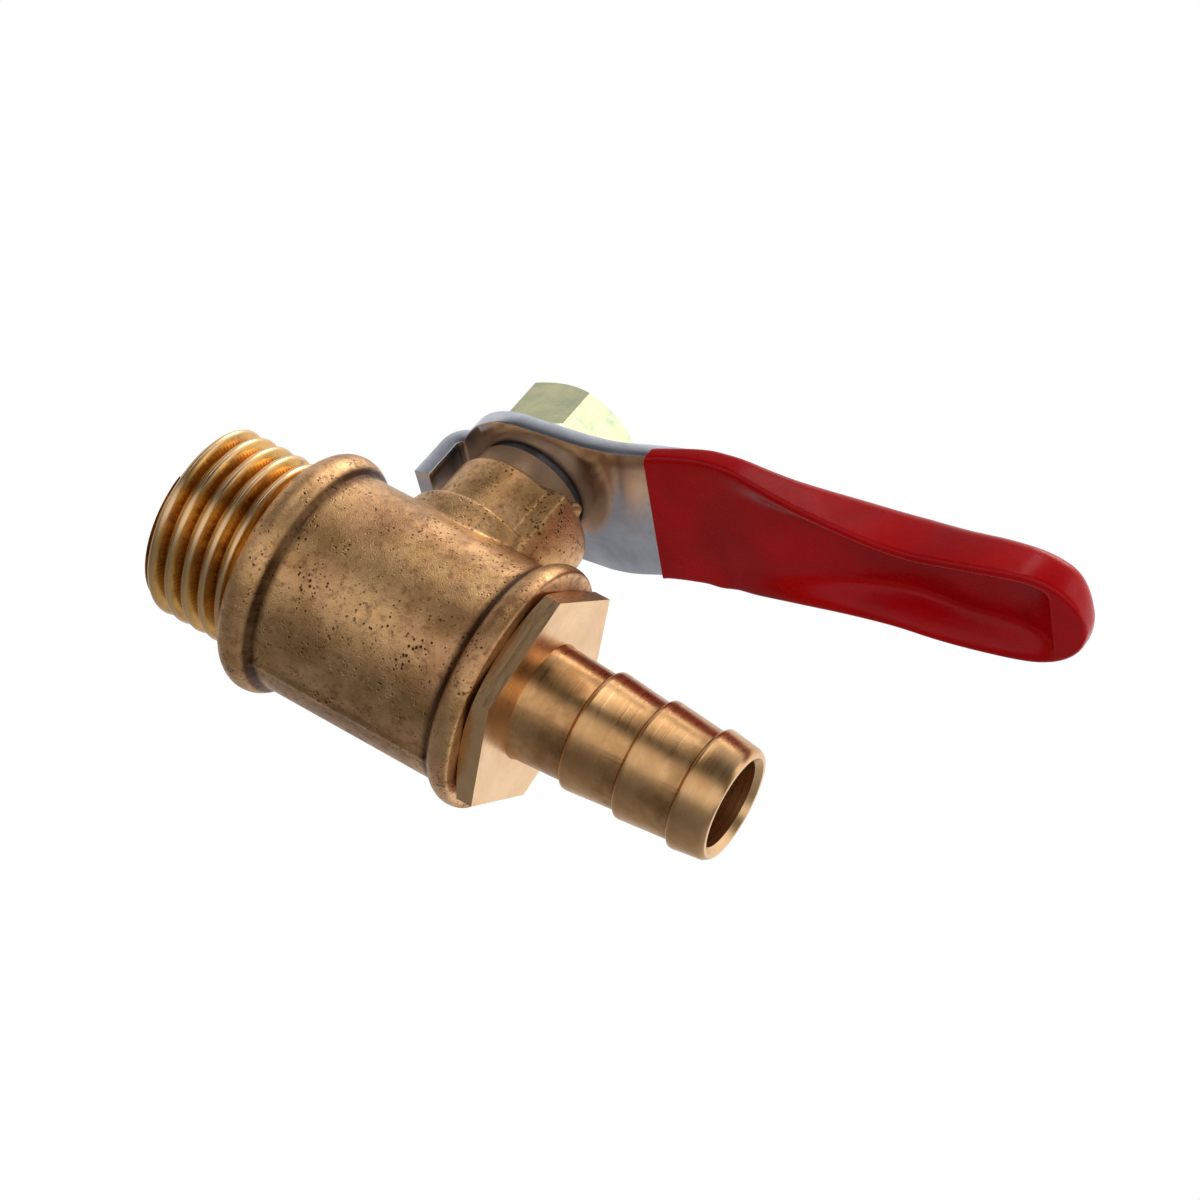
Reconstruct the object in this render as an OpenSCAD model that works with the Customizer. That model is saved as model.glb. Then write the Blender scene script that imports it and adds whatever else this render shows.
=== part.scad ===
// Quarter-turn mini ball valve: male pipe thread inlet, hose tail outlet, lever handle.
// Millimetres. The origin is the centre of the inlet end face, +X runs along the flow
// towards the hose tail, and +Z runs up the stem to the lever.

/* [Body] */
// Distance from the inlet end face to the stem axis
inlet_len = 16.65; // [15:0.05:22]
// Distance between the crests of the two bead rings
bead_gap = 16.15; // [14:0.05:20]
// Diameter of the barrel between the bead rings
barrel_d = 15.2; // [14:0.1:16.6]
// Diameter over the crest of a bead ring
bead_d = 16.9; // [16.2:0.1:22]
// Radius of the rounded section of a bead ring
bead_round = 1.4; // [1.1:0.05:1.8]
// Distance from the outlet bead's crest to the body's end face
end_lip = 0.65; // [0.4:0.05:1]
// Height of the forging line that runs along the underside of the barrel
forging_line_h = 0.12; // [0.05:0.01:0.2]
// Width of that forging line
forging_line_w = 0.3; // [0.2:0.05:0.6]

/* [Inlet thread] */
// Major diameter of the pipe thread
thread_d = 13.157; // [11:0.001:14]
// Pitch of the pipe thread
thread_pitch = 1.337; // [1:0.001:1.6]
// Radial depth of the thread
thread_depth = 0.856; // [0.6:0.001:1]
// Width of the plain ring at the lead end of the thread
lead_land = 0.4; // [0.3:0.05:0.8]
// Bore of the inlet passage
inlet_bore = 7; // [5:0.1:7.6]

/* [Stem neck] */
// Diameter of the round neck that carries the stem
neck_d = 8.9; // [8.6:0.1:12]
// Height of the forged top of the neck above the flow axis
neck_top = 12.1; // [11:0.1:16]
// Diameter of the machined rim on top of the neck
rim_d = 8; // [7.2:0.1:8.4]
// Height of the machined rim above the forged top
rim_h = 1.75; // [1:0.05:3]
// Diameter of the pad at the foot of the neck
pad_d = 10.6; // [10:0.1:14]
// Radius of the half-round stop block beside the neck
stop_r = 5.65; // [5.4:0.05:6.6]
// Height of the stop block above the forged top of the neck
stop_rise = 0.4; // [0.2:0.05:1]
// Gap between the stop block and the lever's tab at each end of its travel
stop_gap = 0.5; // [0.1:0.05:0.8]
// Turn of each stop face from square to the middle of the block
stop_face_turn = 31; // [20:1:40]

/* [Hose tail] */
// Distance across the flats of the hexagon
hex_af = 14; // [12:0.1:18]
// Thickness of the hexagon
hex_t = 1.5; // [1.2:0.1:6]
// Turn of the hexagon about the flow axis
hex_turn = 45; // [0:1:59]
// Length of the plain tapered neck ahead of the first barb
tail_neck = 3.75; // [2:0.05:6]
// Diameter over the crests of the barbs
barb_d = 8.2; // [7.6:0.1:10]
// Depth of the valley behind each barb
barb_depth = 0.35; // [0.2:0.05:0.5]
// Distance from one barb to the next
barb_pitch = 3.9; // [3:0.05:5]
// Width of the flat land on each barb's crest
barb_land = 0.25; // [0.2:0.05:0.5]
// Number of barbs
barbs = 3; // [1:1:5]
// Bore of the hose tail
tail_bore = 6; // [4:0.1:6.2]
// Outside diameter of the spigot that screws into the body
spigot_d = 12; // [11.6:0.1:12.6]

/* [Ball and seats] */
// Diameter of the ball
ball_d = 9.5; // [9:0.1:10]
// Bore through the ball
ball_bore = 5.5; // [4:0.1:5.8]
// Length of each seat ring along the flow
seat_l = 2.3; // [2:0.1:3]
// Width of the body cavity, which the seat rings fill
cavity_d = 11; // [10.6:0.1:11.4]
// Gap between the ball and its seats
seat_gap = 0.08; // [0.04:0.01:0.1]

/* [Stem] */
// Diameter of the stem in the neck
stem_d = 6; // [5.5:0.1:6.2]
// Radial running clearance of the stem in the neck
stem_gap = 0.05; // [0.02:0.01:0.08]
// Diameter of the collar that keeps the stem in the body
collar_d = 7.1; // [6.8:0.1:7.3]
// Thickness of the collar
collar_t = 0.9; // [0.6:0.1:1.2]
// Thickness of the tang in the ball's slot
tang_t = 2.2; // [1.6:0.1:2.6]
// Length of the tang along the slot
tang_l = 5; // [4:0.1:5.4]
// Diameter of the threaded top of the stem
stud_d = 5; // [4:0.1:5.4]
// Distance across the two flats that turn the lever
stud_flats = 3.6; // [3:0.1:4]
// Thickness of each stem seal's round section
o_ring_t = 1.1; // [0.8:0.1:1.2]

/* [Lever] */
// Angle of the lever from the flow axis, where it leans on its open stop
lever_angle = -13; // [-16:1:-10]
// Angle that the lever turns from its open stop to its closed stop
lever_travel = 116; // [96:1:120]
// Thickness of the lever plate
plate_t = 1.25; // [1:0.05:1.6]
// Width of the lever plate at the hub
plate_w = 11.2; // [10:0.05:14]
// Gap between the machined rim and the underside of the lever
lever_gap = 0.3; // [0.2:0.05:1]
// Distance from the stem axis to the start of the upward crank
crank_start = 5.4; // [5:0.1:8]
// Length of the upward crank
crank_l = 8.6; // [6:0.1:14]
// Rise of the upward crank
crank_rise = 1.8; // [1:0.1:8]
// Distance from the stem axis to the tip of the bare plate
lever_reach = 39; // [32:0.1:60]
// Width of the bare plate where it is folded into a channel
channel_w = 7.3; // [6:0.1:10]
// Rise of the channel's web above its edges
channel_rise = 1.9; // [1:0.1:3]
// Gap between the stop tab's inner face and the stem axis
tab_reach = 5.35; // [5:0.05:8]
// Width of the stop tab
tab_w = 4.9; // [3:0.1:5]
// Height of the stop tab's tip above the flow axis
tab_tip = 10.5; // [9.5:0.1:11.5]

/* [Grip] */
// Distance from the stem axis to the edge of the dipped grip
grip_start = 9.4; // [8.8:0.1:12]
// Thickness of the dipped coat
coat = 0.25; // [0.2:0.05:0.6]

/* [Nut and washer] */
// Distance across the flats of the nut
nut_af = 8; // [7:0.1:10]
// Height of the nut
nut_h = 4; // [3:0.1:5]
// Thickness of the split washer
washer_t = 0.9; // [0.6:0.1:1.4]
// Outside diameter of the split washer
washer_d = 8.4; // [7.5:0.1:9.4]

/* [Hidden] */
$fn = 96;
cut = 0.05;                                  // a cutting tool's overrun past a face
fit_gap = 0.02;                              // radial play of a pressed or screwed joint

thread_r = thread_d / 2;
root_r = thread_r - thread_depth;
barrel_r = barrel_d / 2;
bead_r = bead_d / 2;
bead_in_x = inlet_len - bead_gap / 2;
bead_out_x = inlet_len + bead_gap / 2;
body_end = bead_out_x + end_lip;
shoulder_x = bead_in_x - bead_round;
shoulder_land = 0.55;                        // plain ring between the thread and the bead
lead_chamfer = 0.3;

seat_out = ball_d / 2 + seat_gap + 0.85;     // far face of a seat, from the stem axis
seat_in = seat_out - seat_l;
spigot_l = body_end - inlet_len - seat_out;
spigot_bore_r = spigot_d / 2 + fit_gap;

rim_top = neck_top + rim_h;
// distance from the stem axis to the plane of a stop face, whose corner meets the lever's tab
stop_face = stop_r * cos(lever_travel / 2 + asin((tab_w / 2 + stop_gap) / stop_r) - stop_face_turn);
stem_r = stem_d / 2;
neck_bore_r = stem_r + stem_gap;
pocket_r = collar_d / 2 + 0.15;
collar_z = cavity_d / 2 + 0.1;               // underside of the stem's collar
thrust_t = 0.7;
pocket_top = collar_z + collar_t + thrust_t;
slot_floor = ball_bore / 2 + 0.65;
tang_gap = 0.1;
o_ring_low = pocket_top + 1.4;               // centre heights of the two stem seals
o_ring_high = o_ring_low + 2.2;
groove_r = neck_bore_r - o_ring_t;
groove_w = o_ring_t + 0.1;

plate_z = rim_top + lever_gap;               // underside of the lever's hub
plate_top = plate_z + plate_t;
hub_r = plate_w / 2;
stud_gap = 0.05;
washer_z = plate_top;
nut_z = washer_z + washer_t;
stud_top = nut_z + nut_h + 0.7;
stem_shoulder = plate_z;                     // full-round part of the stem ends here

taper_l = 13;                                // the plate narrows over this length
channel_start = crank_start + crank_l;
channel_full = channel_start + taper_l;
tuck = 0.15;                                 // the plate is this much narrower under the coat
round_end_l = 3.6;                           // length of the plate's rounded end
round_end = lever_reach - round_end_l;
flange_z = plate_z + crank_rise + coat;      // lower edge of the folded channel
hollow_end = lever_reach - 3.4;
grip_tip = lever_reach + coat;

// ---- shared helpers ----

function smooth(t) = let(u = min(max(t, 0), 1)) u * u * (3 - 2 * u);

// height of the plate's underside at distance d from the stem axis
function web_z(d) = plate_z + crank_rise * smooth((d - crank_start) / crank_l)
    + channel_rise * smooth((d - channel_start - 1) / taper_l);

// half width of the plate at distance d, rounded off at the far end
function half_w(d) = (hub_r - tuck * smooth((d - crank_start) / 3.5)
    + (channel_w / 2 - hub_r + tuck) * smooth((d - channel_start) / taper_l))
    * (d > round_end ? sqrt(max(1 - pow((d - round_end) / round_end_l, 2), 0)) : 1);

function steps(from, to, count) = [for (i = [0:count]) from + (to - from) * i / count];

// an arc of a circle in the plane of a profile
function arc(cx, cy, r, a0, a1, count) =
    [for (a = steps(a0, a1, count)) [cx + r * cos(a), cy + r * sin(a)]];

module along_flow() rotate([90, 0, 90]) children();

module on_stem() translate([inlet_len, 0, 0]) children();

module turned() on_stem() rotate([0, 0, lever_angle]) children();

module flow_tube(r, from, to) translate([from, 0, 0]) along_flow() cylinder(r = r, h = to - from);

// turns a profile given as [x, r] points about the flow axis
module flow_turned(points) along_flow() rotate_extrude()
    polygon([for (p = points) [p[1], p[0]]]);

module seal_ring(z) translate([0, 0, z]) rotate_extrude()
    translate([neck_bore_r - o_ring_t / 2 - 0.005, 0]) circle(r = o_ring_t / 2 - 0.01, $fn = 32);

// ---- valve body ----

bead_half = acos(max(bead_round - (bead_r - barrel_r), 0) / bead_round);
bead_front = asin(end_lip / bead_round);
crease = bead_round * sin(bead_half) + 0.02; // from a bead's crest to the foot of its side

// each turn of the thread is one ring of the turned profile
thread_foot = thread_pitch * 0.42;
thread_crest = thread_pitch * 0.1;
thread_first = lead_chamfer + lead_land + 0.2 + thread_foot;
thread_last = shoulder_x - shoulder_land - 0.2 - thread_foot;
thread_turns = floor((thread_last - thread_first) / thread_pitch) + 1;
thread_rings = [for (i = [0:thread_turns - 1]) let(x = thread_last - i * thread_pitch)
    [[x + thread_foot, root_r], [x + thread_crest, thread_r], [x - thread_crest, thread_r],
        [x - thread_foot, root_r]]];

module body_blank() flow_turned(concat(
    [[0, 0], [0, root_r], [lead_chamfer, thread_r], [lead_chamfer + lead_land, thread_r],
        [lead_chamfer + lead_land + 0.2, root_r]],
    [for (i = [thread_turns - 1:-1:0]) for (k = [3:-1:0]) thread_rings[i][k]],
    [[shoulder_x - shoulder_land - 0.15, root_r], [shoulder_x - shoulder_land, thread_r],
        [shoulder_x, thread_r]],
    bead_arc(bead_in_x, 180, 90 - bead_half),
    [[bead_in_x + crease, barrel_r], [bead_out_x - crease, barrel_r]],
    bead_arc(bead_out_x, 90 + bead_half, 90 - bead_front),
    [[body_end, 0]]));

function bead_arc(x, a0, a1) = arc(x, bead_r - bead_round, bead_round, a0, a1, 14);

// block round the far side of the neck: its two end faces stop the lever's tab
module stop_block() on_stem() difference() {
    cylinder(r = stop_r, h = neck_top + stop_rise);
    for (side = [-1, 1]) rotate([0, 0, lever_angle + lever_travel / 2 + side * stop_face_turn])
        translate([-stop_face - 2 * stop_r, -2 * stop_r, -1])
            cube([2 * stop_r, 4 * stop_r, neck_top + stop_rise + 2]);
}

module valve_body() color("#b98a4e") difference() {
    union() {
        body_blank();
        on_stem() cylinder(d = neck_d, h = neck_top);
        on_stem() cylinder(d = rim_d, h = rim_top);
        on_stem() cylinder(d = pad_d, h = barrel_r + 0.05);
        stop_block();
        translate([bead_in_x, -forging_line_w / 2, -barrel_r - forging_line_h])
            cube([bead_gap, forging_line_w, 1]);
    }
    flow_tube(inlet_bore / 2, -cut, inlet_len);
    flow_tube(cavity_d / 2, inlet_len - seat_out, body_end + cut);
    flow_tube(spigot_bore_r, inlet_len + seat_out, body_end + cut);
    on_stem() cylinder(r = pocket_r, h = pocket_top);
    on_stem() cylinder(r = neck_bore_r, h = rim_top + cut);
}

// ---- hose tail ----

hex_x = body_end;
hex_front = hex_x + hex_t;
barb_x = hex_front + tail_neck;              // foot of the first barb's step
barb_r = barb_d / 2;
valley_r = barb_r - barb_depth;
barb_step = 0.3;                             // length of the slope up to a crest
tail_end = barb_x + barb_step + (barbs - 1) * barb_pitch + 2.4;
nose = 0.35;
tail_seal_t = 0.9;                           // section of the seal round the spigot
tail_seal_x = body_end - spigot_l / 2;
edge_break = 0.4;

module hex_head() intersection() {
    translate([hex_x, 0, 0]) rotate([hex_turn, 0, 0]) along_flow()
        cylinder(r = hex_af / 2 / cos(30), h = hex_t, $fn = 6);
    flow_turned([[hex_x, 0], [hex_x, hex_af / 2 + 0.35], [hex_x + edge_break, hex_af / 2 + 0.95],
        [hex_x + hex_t, hex_af / 2 + 0.95], [hex_x + hex_t, 0]]);
}

module barb_blank() flow_turned(concat(
    [[hex_x, 0], [hex_x, barb_r - 0.15], [hex_front, barb_r - 0.15], [barb_x, valley_r]],
    [for (i = [0:barbs - 1]) let(x = barb_x + i * barb_pitch + barb_step)
        for (p = [[x, barb_r], [x + barb_land, barb_r],
            [min(x + barb_pitch - barb_step, tail_end - nose), valley_r]]) p],
    [[tail_end, valley_r - nose / 2], [tail_end, 0]]));

module hose_tail() color("#c49a55") difference() {
    union() {
        hex_head();
        barb_blank();
        flow_tube(spigot_d / 2, hex_x - spigot_l, hex_x + hex_t / 2);
    }
    flow_tube(tail_bore / 2, hex_x - spigot_l - cut, tail_end + cut);
    difference() {
        flow_tube(spigot_d / 2 + 1, tail_seal_x - tail_seal_t / 2 - 0.05,
            tail_seal_x + tail_seal_t / 2 + 0.05);
        flow_tube(spigot_d / 2 - tail_seal_t, tail_seal_x - 1, tail_seal_x + 1);
    }
}

module tail_o_ring() color("#2b2b2b") translate([tail_seal_x, 0, 0]) along_flow()
    rotate_extrude() translate([spigot_bore_r - tail_seal_t / 2, 0])
        circle(r = tail_seal_t / 2 - 0.01, $fn = 32);

// ---- ball and seats ----

module ball() color("#d9dcdf") turned() difference() {
    sphere(d = ball_d);
    rotate([0, 90, 0]) cylinder(d = ball_bore, h = ball_d + 2, center = true);
    translate([-tang_t / 2 - tang_gap, -ball_d / 2, slot_floor])
        cube([tang_t + 2 * tang_gap, ball_d, ball_d]);
}

module seat() difference() {
    flow_tube(cavity_d / 2 - fit_gap, seat_in, seat_out);
    flow_tube(tail_bore / 2, seat_in - cut, seat_out + cut);
    sphere(d = ball_d + 2 * seat_gap);
}

module inlet_seat() color("#f1efe8") on_stem() mirror([1, 0, 0]) seat();

module outlet_seat() color("#f1efe8") on_stem() seat();

// ---- stem and its seals ----

module stem() color("#c9a468") turned() difference() {
    union() {
        intersection() {
            translate([-tang_t / 2, -tang_l / 2, slot_floor + tang_gap])
                cube([tang_t, tang_l, collar_z - slot_floor]);
            cylinder(d = collar_d, h = collar_z);
        }
        translate([0, 0, collar_z]) cylinder(d = collar_d, h = collar_t);
        translate([0, 0, collar_z]) cylinder(r = stem_r, h = stem_shoulder - collar_z);
        intersection() {
            translate([0, 0, collar_z]) cylinder(d = stud_d, h = washer_z - collar_z);
            translate([-stud_flats / 2, -stud_d, collar_z])
                cube([stud_flats, 2 * stud_d, washer_z - collar_z]);
        }
        translate([0, 0, washer_z]) cylinder(d = stud_d - 0.1, h = stud_top - washer_z);
    }
    for (z = [o_ring_low, o_ring_high]) translate([0, 0, z - groove_w / 2]) difference() {
        cylinder(r = stem_r + 1, h = groove_w);
        translate([0, 0, -cut]) cylinder(r = groove_r, h = groove_w + 2 * cut);
    }
}

module stem_thrust_washer() color("#f1efe8") on_stem()
    translate([0, 0, collar_z + collar_t + fit_gap]) difference() {
        cylinder(r = pocket_r - fit_gap, h = thrust_t - 2 * fit_gap);
        translate([0, 0, -cut]) cylinder(r = stem_r + stem_gap, h = thrust_t + 2 * cut);
    }

module stem_washer() color("#cfd2d4") turned() translate([0, 0, rim_top + stem_gap])
    difference() {
        cylinder(d = rim_d - 0.6, h = lever_gap - stem_gap);
        translate([0, 0, -cut]) cylinder(r = stem_r + 0.03, h = lever_gap + 2 * cut);
    }

module stem_o_ring_lower() color("#2b2b2b") turned() seal_ring(o_ring_low);

module stem_o_ring_upper() color("#2b2b2b") turned() seal_ring(o_ring_high);

// ---- lever and grip ----

// the plan of the plate from one distance to another, grown by an allowance
module plan(from, to, grow) {
    reach = [for (d = steps(from, to, 40)) [d, max(half_w(min(d, to)) + grow, 0.01)]];
    polygon(concat(reach, [for (i = [len(reach) - 1:-1:0]) [reach[i][0], -reach[i][1]]]));
}

// the side of the bent plate, between a depth below and a height above its underside
module side(from, to, below, above) {
    places = steps(from, to, 44);
    low = [for (d = places) [d, web_z(d) - below]];
    high = [for (i = [len(places) - 1:-1:0]) [places[i], web_z(places[i]) + above]];
    rotate([90, 0, 0]) linear_extrude(height = 2 * plate_w, center = true)
        polygon(concat(low, high));
}

module stop_tab() rotate([90, 0, 0]) linear_extrude(height = tab_w, center = true)
    polygon(concat([[-hub_r + 1.5, plate_top], [-hub_r + 1.5, plate_z], [-tab_reach, plate_z],
        [-tab_reach, tab_tip], [-tab_reach - plate_t, tab_tip]],
        arc(-tab_reach, plate_top - plate_t, plate_t, 180, 90, 8)));

// the folded-down edges of the channel
module flanges() intersection() {
    translate([0, 0, flange_z]) linear_extrude(height = 10) difference() {
        plan(channel_start, lever_reach, 0);
        plan(channel_start - 1, lever_reach - plate_t, -plate_t);
    }
    side(channel_start, lever_reach, 5, plate_t / 2);
}

module lever_plate() {
    intersection() {
        linear_extrude(height = 40) union() {
            circle(r = hub_r);
            plan(0, lever_reach, 0);
        }
        side(-hub_r - 1, lever_reach, 0, plate_t);
    }
    stop_tab();
    flanges();
}

module lever() color("#c3c7cc") turned() difference() {
    lever_plate();
    translate([0, 0, plate_z - 1]) intersection() {
        cylinder(d = stud_d + 2 * stud_gap, h = plate_t + 2);
        translate([-stud_flats / 2 - stud_gap, -stud_d, 0])
            cube([stud_flats + 2 * stud_gap, 2 * stud_d, plate_t + 2]);
    }
}

module lever_grip() color("#c01015") turned() difference() {
    intersection() {
        linear_extrude(height = 40) plan_coat();
        union() {
            side(grip_start, grip_tip, coat, plate_t + coat);
            intersection() {
                side(channel_start, grip_tip, 5, plate_t);
                translate([0, -plate_w, flange_z - coat]) cube([grip_tip, 2 * plate_w, 10]);
            }
        }
    }
    translate([0, 0, flange_z - 2]) intersection() {
        linear_extrude(height = 10) plan(channel_start - 1, hollow_end, -plate_t - coat);
        translate([0, 0, 2 - flange_z]) side(channel_start - 1, hollow_end, 5, -coat);
    }
    lever_plate();
}

// the plan of the coat, which closes round the tip of the plate
module plan_coat() {
    stretch = grip_tip / lever_reach;
    places = steps(grip_start, lever_reach, 40);
    edge = [for (d = places) [d * (d > round_end ? stretch : 1), half_w(d) + coat]];
    polygon(concat(edge, [for (i = [len(edge) - 1:-1:0]) [edge[i][0], -edge[i][1]]]));
}

// ---- washer and nut ----

module spring_washer() color("#b9ad6a") turned() translate([0, 0, washer_z]) difference() {
    cylinder(d = washer_d, h = washer_t);
    translate([0, 0, -cut]) cylinder(r = stud_d / 2 + 0.1, h = washer_t + 2 * cut);
    rotate([0, 0, 110]) rotate([20, 0, 0]) translate([0, -0.15, -2]) cube([washer_d, 0.3, 6]);
}

module nut_bevel(flip) translate([0, 0, flip ? nut_h : 0]) mirror([0, 0, flip ? 1 : 0])
    cylinder(r1 = nut_af / 2, r2 = nut_af / 2 + nut_h * 1.7, h = nut_h);

module lever_nut() color("#c9c58a") on_stem() translate([0, 0, nut_z]) difference() {
    intersection() {
        rotate([0, 0, -21]) cylinder(r = nut_af / 2 / cos(30), h = nut_h, $fn = 6);
        nut_bevel(false);
        nut_bevel(true);
    }
    translate([0, 0, -cut]) cylinder(d = stud_d - 0.1 + 2 * fit_gap, h = nut_h + 2 * cut);
}

valve_body();
hose_tail();
ball();
inlet_seat();
outlet_seat();
stem();
stem_thrust_washer();
stem_o_ring_lower();
stem_o_ring_upper();
tail_o_ring();
stem_washer();
lever();
lever_grip();
spring_washer();
lever_nut();
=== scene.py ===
import bpy
from math import acos, asin, ceil, cos, degrees, pi, radians, sin, sqrt
from mathutils import Matrix, Vector


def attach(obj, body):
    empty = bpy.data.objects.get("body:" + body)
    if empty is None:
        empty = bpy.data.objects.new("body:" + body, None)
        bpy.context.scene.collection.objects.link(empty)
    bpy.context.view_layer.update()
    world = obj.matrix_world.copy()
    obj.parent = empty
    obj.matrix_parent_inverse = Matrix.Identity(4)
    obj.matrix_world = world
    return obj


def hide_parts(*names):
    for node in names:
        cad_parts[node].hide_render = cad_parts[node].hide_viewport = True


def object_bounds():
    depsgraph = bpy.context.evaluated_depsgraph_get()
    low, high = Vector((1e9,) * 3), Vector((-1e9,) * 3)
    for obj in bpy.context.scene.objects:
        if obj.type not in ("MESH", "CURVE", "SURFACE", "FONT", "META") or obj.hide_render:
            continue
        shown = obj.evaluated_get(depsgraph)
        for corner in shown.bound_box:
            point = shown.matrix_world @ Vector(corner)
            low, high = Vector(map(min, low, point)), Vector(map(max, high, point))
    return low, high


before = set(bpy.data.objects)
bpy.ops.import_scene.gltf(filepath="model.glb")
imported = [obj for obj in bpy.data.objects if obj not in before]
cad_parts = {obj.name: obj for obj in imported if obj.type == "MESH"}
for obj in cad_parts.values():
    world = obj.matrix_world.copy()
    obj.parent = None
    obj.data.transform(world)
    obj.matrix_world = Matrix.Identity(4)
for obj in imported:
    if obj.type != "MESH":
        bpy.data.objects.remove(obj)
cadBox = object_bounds()
print("frame loaded")

# Pieces are modelled in millimetres, one unit to a millimetre, and shrunk when they are done.
stemX = 16.65  # the stem's axis, measured from the inlet end face
leverTurn = radians(-13)  # the lever's rest angle from the flow axis


def letGo():
    if bpy.context.mode != "OBJECT":
        bpy.ops.object.mode_set(mode="OBJECT")
    bpy.ops.object.select_all(action="DESELECT")


def pick(piece):
    letGo()
    piece.select_set(True)
    bpy.context.view_layer.objects.active = piece


def edit(piece):
    pick(piece)
    bpy.ops.object.mode_set(mode="EDIT")
    bpy.ops.mesh.select_all(action="SELECT")


def done():
    bpy.ops.object.mode_set(mode="OBJECT")


def apply(piece, modifier):
    pick(piece)
    bpy.ops.object.modifier_apply(modifier=modifier.name)


def weld(piece, distance=0.0008):
    edit(piece)
    bpy.ops.mesh.remove_doubles(threshold=distance)
    bpy.ops.mesh.select_all(action="DESELECT")
    bpy.ops.mesh.select_non_manifold()
    bpy.ops.mesh.fill_holes(sides=0)
    bpy.ops.mesh.select_all(action="SELECT")
    bpy.ops.mesh.normals_make_consistent(inside=False)
    done()


def pointChain(name, points):
    # a plane merged to one point, which is then extruded from point to point
    letGo()
    bpy.ops.mesh.primitive_plane_add(size=1, location=points[0])
    piece = bpy.context.active_object
    piece.name = name
    bpy.ops.object.mode_set(mode="EDIT")
    bpy.ops.mesh.select_all(action="SELECT")
    bpy.ops.mesh.merge(type="CENTER")
    for here, there in zip(points, points[1:]):
        step = Vector(there) - Vector(here)
        bpy.ops.mesh.extrude_region_move(TRANSFORM_OT_translate={"value": step})
    return piece


def turned(name, profile, axis="X", centre=(0, 0, 0), steps=128):
    # spins a profile of (along, radius) pairs about the axis through centre
    at = Vector(centre)
    if axis == "X":
        points = [at + Vector((a, 0, r)) for a, r in profile]
        line = (1, 0, 0)
    else:
        points = [at + Vector((r, 0, a)) for a, r in profile]
        line = (0, 0, 1)
    piece = pointChain(name, points)
    bpy.ops.mesh.select_all(action="SELECT")
    bpy.ops.mesh.spin(steps=steps, angle=2 * pi, center=at, axis=line)
    done()
    weld(piece)
    return piece


def bow(a, r, radius, start, end, count=12):
    # points of a round, in profile terms
    angles = [radians(start + (end - start) * i / count) for i in range(count + 1)]
    return [(a + radius * cos(t), r + radius * sin(t)) for t in angles]


def loft(name, rings):
    # a grid primitive whose rows become the rings
    rows, count = len(rings), len(rings[0])
    letGo()
    bpy.ops.mesh.primitive_grid_add(x_subdivisions=rows - 1, y_subdivisions=count, size=2)
    piece = bpy.context.active_object
    piece.name = name
    for v in piece.data.vertices:
        i = round((v.co.x + 1) / 2 * (rows - 1))
        j = round((v.co.y + 1) / 2 * count) % count
        v.co = rings[i][j]
    weld(piece)
    return piece


def carve(piece, cutter, kind="DIFFERENCE"):
    tool = piece.modifiers.new("carve", "BOOLEAN")
    tool.operation = kind
    tool.solver = "EXACT"
    tool.object = cutter
    apply(piece, tool)
    bpy.data.objects.remove(cutter)


def joinTo(piece, *others):
    pick(piece)
    for o in others:
        o.select_set(True)
    bpy.ops.object.join()


def smooth(piece, angle=32):
    pick(piece)
    bpy.ops.object.shade_smooth_by_angle(angle=radians(angle))
    for m in list(piece.modifiers):
        apply(piece, m)


def place(piece, body, material, stands=(), onLever=False, onStem=False):
    pick(piece)
    bpy.ops.object.transform_apply(location=True, rotation=True, scale=True)
    if onLever:
        piece.rotation_euler = (0, 0, leverTurn)
    if onLever or onStem:
        piece.location = (stemX, 0, 0)
    bpy.ops.object.transform_apply(location=True, rotation=True, scale=True)
    piece.scale = (0.001, 0.001, 0.001)
    bpy.ops.object.transform_apply(location=True, rotation=True, scale=True)
    piece.data.materials.clear()
    piece.data.materials.append(material)
    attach(piece, body)
    for node in stands:
        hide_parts(node)


def ease(t):
    t = min(max(t, 0), 1)
    return t * t * (3 - 2 * t)


def along(table, d):
    # reads a smooth curve through (distance, value) pairs
    if d <= table[0][0]:
        return table[0][1]
    for k in range(len(table) - 1):
        (a, u), (b, v) = table[k], table[k + 1]
        if d <= b:
            before = table[k - 1] if k else (2 * a - b, 2 * u - v)
            after = table[k + 2] if k + 2 < len(table) else (2 * b - a, 2 * v - u)
            ma = (v - before[1]) / (b - before[0]) * (b - a)
            mb = (after[1] - u) / (after[0] - a) * (b - a)
            t = (d - a) / (b - a)
            return ((2 * t ** 3 - 3 * t * t + 1) * u + (t ** 3 - 2 * t * t + t) * ma
                    + (3 * t * t - 2 * t ** 3) * v + (t ** 3 - t * t) * mb)
    return table[-1][1]


camera = {
    "place": (88.45, -152.45, -91.41),
    "right": (0.83691, -0.01414, 0.54716),
    "up": (-0.43955, -0.61304, 0.65649),
    "back": (0.32615, -0.78993, -0.51927),
    "lens": 90,
}

letGo()
bpy.ops.object.camera_add()
eye = bpy.context.active_object
eye.name = "studioCamera"
axes = [Vector(camera[k]).normalized() for k in ("right", "up", "back")]
turn = Matrix(axes).transposed().to_4x4()
eye.matrix_world = Matrix.Translation(Vector(camera["place"]) * 0.001) @ turn
eye.data.lens = camera["lens"]
eye.data.sensor_width = 36
eye.data.clip_start = 0.01
eye.data.clip_end = 10
bpy.context.scene.camera = eye
bpy.context.scene.view_settings.view_transform = "Standard"
print("camera set")


def addGroup(name, inputs, outputs):
    group = bpy.data.node_groups.new(name, "ShaderNodeTree")
    for label, kind, value in inputs:
        s = group.interface.new_socket(label, in_out="INPUT", socket_type=kind)
        if value is not None:
            s.default_value = value
    for label, kind in outputs:
        group.interface.new_socket(label, in_out="OUTPUT", socket_type=kind)
    start = group.nodes.new("NodeGroupInput")
    end = group.nodes.new("NodeGroupOutput")
    return group, start, end


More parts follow.
